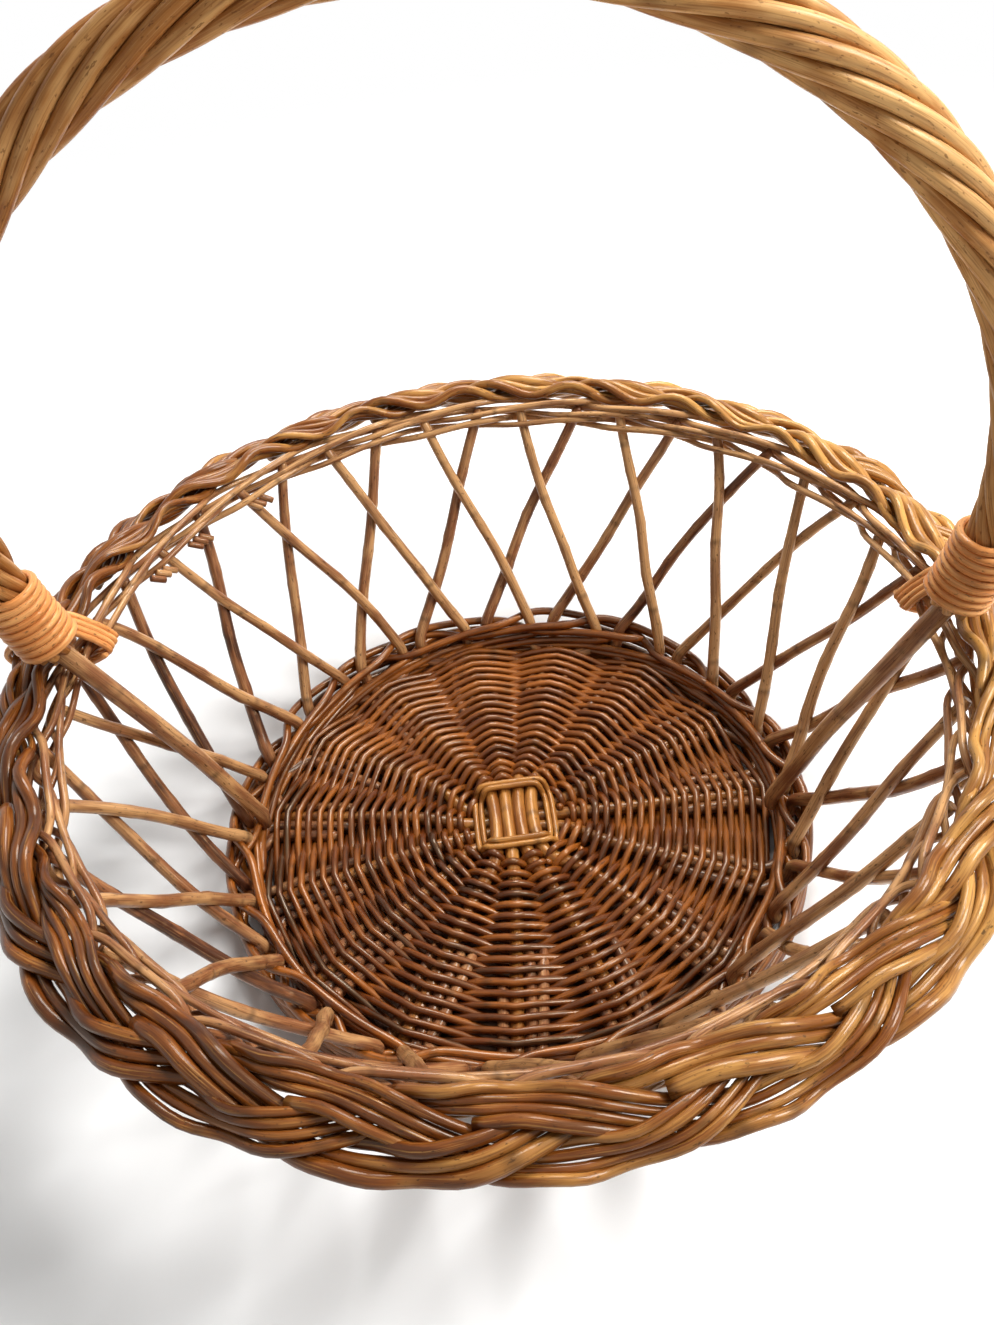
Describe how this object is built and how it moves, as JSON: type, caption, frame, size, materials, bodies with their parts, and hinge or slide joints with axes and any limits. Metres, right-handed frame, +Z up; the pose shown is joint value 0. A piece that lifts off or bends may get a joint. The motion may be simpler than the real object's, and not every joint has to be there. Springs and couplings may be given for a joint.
{
  "type": "round basket",
  "caption": "Round willow basket with a woven base, an open lattice wall of crossed stakes, a plaited border and a fixed roped arch handle.",
  "frame": {"origin": "middle of the base on the floor, under the centre of the basket's bounding box", "axes": "+Z up; the handle's arch stands in the XZ plane with a leg at each end of X; +Y points to the back of the basket"},
  "size_m": [0.3881, 0.3819, 0.35],
  "materials": {
    "base_willow": "varnished reddish brown willow",
    "stake_willow": "varnished brown willow with darker knots",
    "border_willow": "glossy varnished golden tan willow",
    "handle_willow": "glossy varnished tan willow",
    "collar_willow": "varnished light brown willow"
  },
  "bodies": {
    "root": {"long_base_sticks": "base_willow", "cross_base_sticks": "base_willow", "slath_binding": "collar_willow", "base_weave": "base_willow", "bottom_wale": "base_willow", "top_fitch": "stake_willow", "right_leaning_stake_01": "stake_willow", "left_leaning_stake_01": "stake_willow", "right_leaning_stake_02": "stake_willow", "left_leaning_stake_02": "stake_willow", "right_leaning_stake_03": "stake_willow", "left_leaning_stake_03": "stake_willow", "right_leaning_stake_04": "stake_willow", "left_leaning_stake_04": "stake_willow", "right_leaning_stake_05": "stake_willow", "left_leaning_stake_05": "stake_willow", "right_leaning_stake_06": "stake_willow", "left_leaning_stake_06": "stake_willow", "right_leaning_stake_07": "stake_willow", "left_leaning_stake_07": "stake_willow", "right_leaning_stake_08": "stake_willow", "left_leaning_stake_08": "stake_willow", "right_leaning_stake_09": "stake_willow", "left_leaning_stake_09": "stake_willow", "right_leaning_stake_10": "stake_willow", "left_leaning_stake_10": "stake_willow", "right_leaning_stake_11": "stake_willow", "left_leaning_stake_11": "stake_willow", "right_leaning_stake_12": "stake_willow", "left_leaning_stake_12": "stake_willow", "right_leaning_stake_13": "stake_willow", "left_leaning_stake_13": "stake_willow", "right_leaning_stake_14": "stake_willow", "left_leaning_stake_14": "stake_willow", "right_leaning_stake_15": "stake_willow", "left_leaning_stake_15": "stake_willow", "right_leaning_stake_16": "stake_willow", "left_leaning_stake_16": "stake_willow", "right_leaning_stake_17": "stake_willow", "left_leaning_stake_17": "stake_willow", "right_leaning_stake_18": "stake_willow", "left_leaning_stake_18": "stake_willow", "right_leaning_stake_19": "stake_willow", "left_leaning_stake_19": "stake_willow", "right_leaning_stake_20": "stake_willow", "left_leaning_stake_20": "stake_willow", "right_leaning_stake_21": "stake_willow", "left_leaning_stake_21": "stake_willow", "right_leaning_stake_22": "stake_willow", "left_leaning_stake_22": "stake_willow", "border_strand_1": "border_willow", "border_strand_2": "border_willow", "border_strand_3": "border_willow", "handle_bow": "handle_willow", "handle_rope": "handle_willow", "right_collar": "collar_willow", "left_collar": "collar_willow", "right_tie": "collar_willow", "left_tie": "collar_willow"}
  },
  "joints": []
}
